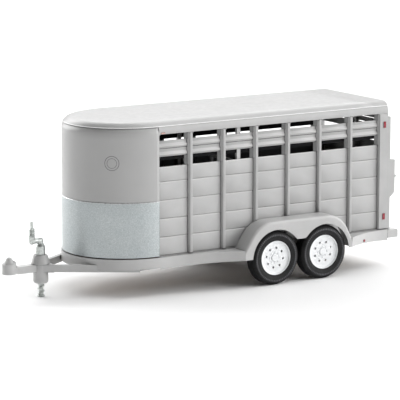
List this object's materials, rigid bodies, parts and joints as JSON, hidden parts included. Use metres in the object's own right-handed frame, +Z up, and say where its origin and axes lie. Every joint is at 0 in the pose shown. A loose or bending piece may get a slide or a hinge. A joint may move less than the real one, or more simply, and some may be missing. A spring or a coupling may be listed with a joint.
{
  "type": "livestock trailer",
  "caption": "Bumper-pull livestock trailer with a rounded nose, slatted side vents, tandem sprung wheels, swing-and-slide rear gate, inner gate, ball coupler and screw jack.",
  "frame": {"origin": "on the ground, on the centreline, under the middle of the overall length", "axes": "+X forwards, the towing direction; +Y to the left side; +Z up"},
  "size_m": [6.296, 2.38, 2.535],
  "materials": {
    "body_paint": "semi-gloss light grey paint",
    "frame_paint": "semi-gloss light grey paint",
    "chassis_paint": "satin black underbody paint",
    "guard_metal": "matt mill finish with fine grain",
    "planking": "rough sawn treated timber",
    "red_lens": "gloss",
    "amber_lens": "gloss",
    "jack_steel": "zinc plated, slightly cast",
    "tyre_rubber": "matt black rubber",
    "wheel_white": "gloss white paint",
    "hub_iron": "white painted casting",
    "nut_steel": "bright plated"
  },
  "bodies": {
    "trailer": {"amber_marker_lamps": "amber_lens", "axle_tubes": "chassis_paint", "bottom_rails": "body_paint", "centre_gate_posts": "body_paint", "coupler": "frame_paint", "cross_members": "chassis_paint", "end_posts": "body_paint", "fenders": "body_paint", "floor_planks": "planking", "front_running_boards": "body_paint", "hinge_pins": "body_paint", "jack_housing": "frame_paint", "main_rails": "chassis_paint", "nose_skin": "body_paint", "nose_skirt": "body_paint", "rear_bumper": "body_paint", "rear_running_boards": "body_paint", "red_marker_lamps": "red_lens", "roof_bows": "body_paint", "roof_shell": "body_paint", "side_panels_left": "body_paint", "side_panels_right": "body_paint", "side_posts": "body_paint", "stone_guard": "guard_metal", "tail_lamps": "red_lens", "tongue_beams": "frame_paint", "tongue_plates": "frame_paint", "top_rails": "body_paint", "vent_slats_left": "body_paint", "vent_slats_right": "body_paint"},
    "arm_front_left": {"torsion_arm_front_left": "chassis_paint"},
    "wheel_front_left": {"tyre_front_left": "tyre_rubber", "wheel_rim_front_left": "wheel_white", "hub_front_left": "hub_iron", "wheel_nuts_front_left": "nut_steel"},
    "arm_front_right": {"torsion_arm_front_right": "chassis_paint"},
    "wheel_front_right": {"tyre_front_right": "tyre_rubber", "wheel_rim_front_right": "wheel_white", "hub_front_right": "hub_iron", "wheel_nuts_front_right": "nut_steel"},
    "arm_rear_left": {"torsion_arm_rear_left": "chassis_paint"},
    "wheel_rear_left": {"tyre_rear_left": "tyre_rubber", "wheel_rim_rear_left": "wheel_white", "hub_rear_left": "hub_iron", "wheel_nuts_rear_left": "nut_steel"},
    "arm_rear_right": {"torsion_arm_rear_right": "chassis_paint"},
    "wheel_rear_right": {"tyre_rear_right": "tyre_rubber", "wheel_rim_rear_right": "wheel_white", "hub_rear_right": "hub_iron", "wheel_nuts_rear_right": "nut_steel"},
    "rear_gate": {"rear_gate_frame": "body_paint", "rear_gate_panel": "body_paint", "gate_latch_box": "body_paint"},
    "slide_gate": {"slide_gate": "body_paint"},
    "gate_latch": {"gate_latch_plunger": "jack_steel"},
    "centre_gate": {"centre_gate": "body_paint"},
    "coupler_latch": {"coupler_latch": "frame_paint"},
    "jack_foot": {"jack_foot": "jack_steel"},
    "jack_screw": {"jack_screw": "jack_steel"},
    "crank_grip": {"crank_grip": "jack_steel"}
  },
  "joints": [
    {"name": "suspension_front_left", "type": "hinge", "parent": "trailer", "child": "arm_front_left", "pos_m": [-0.622, 0.884, 0.3525], "axis": [0, 1, 0], "range_deg": [-12, 18], "stiffness_Nm_per_rad": 9000, "springref_deg": -3.15},
    {"name": "wheel_spin_front_left", "type": "hinge", "parent": "arm_front_left", "child": "wheel_front_left", "pos_m": [-0.763, 1.05, 0.4025], "axis": [0, 1, 0], "continuous": true},
    {"name": "suspension_front_right", "type": "hinge", "parent": "trailer", "child": "arm_front_right", "pos_m": [-0.622, -0.884, 0.3525], "axis": [0, 1, 0], "range_deg": [-12, 18], "stiffness_Nm_per_rad": 9000, "springref_deg": -3.15},
    {"name": "wheel_spin_front_right", "type": "hinge", "parent": "arm_front_right", "child": "wheel_front_right", "pos_m": [-0.763, -1.05, 0.4025], "axis": [0, 1, 0], "continuous": true},
    {"name": "suspension_rear_left", "type": "hinge", "parent": "trailer", "child": "arm_rear_left", "pos_m": [-1.478, 0.884, 0.3525], "axis": [0, 1, 0], "range_deg": [-12, 18], "stiffness_Nm_per_rad": 9000, "springref_deg": -3.15},
    {"name": "wheel_spin_rear_left", "type": "hinge", "parent": "arm_rear_left", "child": "wheel_rear_left", "pos_m": [-1.619, 1.05, 0.4025], "axis": [0, 1, 0], "continuous": true},
    {"name": "suspension_rear_right", "type": "hinge", "parent": "trailer", "child": "arm_rear_right", "pos_m": [-1.478, -0.884, 0.3525], "axis": [0, 1, 0], "range_deg": [-12, 18], "stiffness_Nm_per_rad": 9000, "springref_deg": -3.15},
    {"name": "wheel_spin_rear_right", "type": "hinge", "parent": "arm_rear_right", "child": "wheel_rear_right", "pos_m": [-1.619, -1.05, 0.4025], "axis": [0, 1, 0], "continuous": true},
    {"name": "rear_gate_swing", "type": "hinge", "parent": "trailer", "child": "rear_gate", "pos_m": [-2.985, -0.915, 1.43], "axis": [0, 0, 1], "range_deg": [0, 180]},
    {"name": "slide_gate_travel", "type": "slide", "parent": "rear_gate", "child": "slide_gate", "axis": [0, -1, 0], "range_m": [0, 0.8]},
    {"name": "gate_latch_push", "type": "slide", "parent": "rear_gate", "child": "gate_latch", "axis": [1, 0, 0], "range_m": [0, 0.02]},
    {"name": "centre_gate_swing", "type": "hinge", "parent": "trailer", "child": "centre_gate", "pos_m": [-0.356, -0.82, 1.2], "axis": [0, 0, 1], "range_deg": [0, 90]},
    {"name": "coupler_latch_lift", "type": "hinge", "parent": "trailer", "child": "coupler_latch", "pos_m": [3.005, 0, 0.566], "axis": [0, 1, 0], "range_deg": [0, 75]},
    {"name": "jack_lift", "type": "slide", "parent": "trailer", "child": "jack_foot", "axis": [0, 0, 1], "range_m": [-0.15, 0.16]},
    {"name": "jack_turn", "type": "hinge", "parent": "jack_foot", "child": "jack_screw", "pos_m": [2.539, 0, 0.4], "axis": [0, 0, 1], "range_deg": [-680, 725]},
    {"name": "grip_spin", "type": "hinge", "parent": "jack_screw", "child": "crank_grip", "pos_m": [2.675, 0, 0.98], "axis": [0, 0, 1], "continuous": true}
  ],
  "couplings": [
    {"joint": "jack_turn", "follows": "jack_lift", "rad_per_m": 78.54}
  ]
}
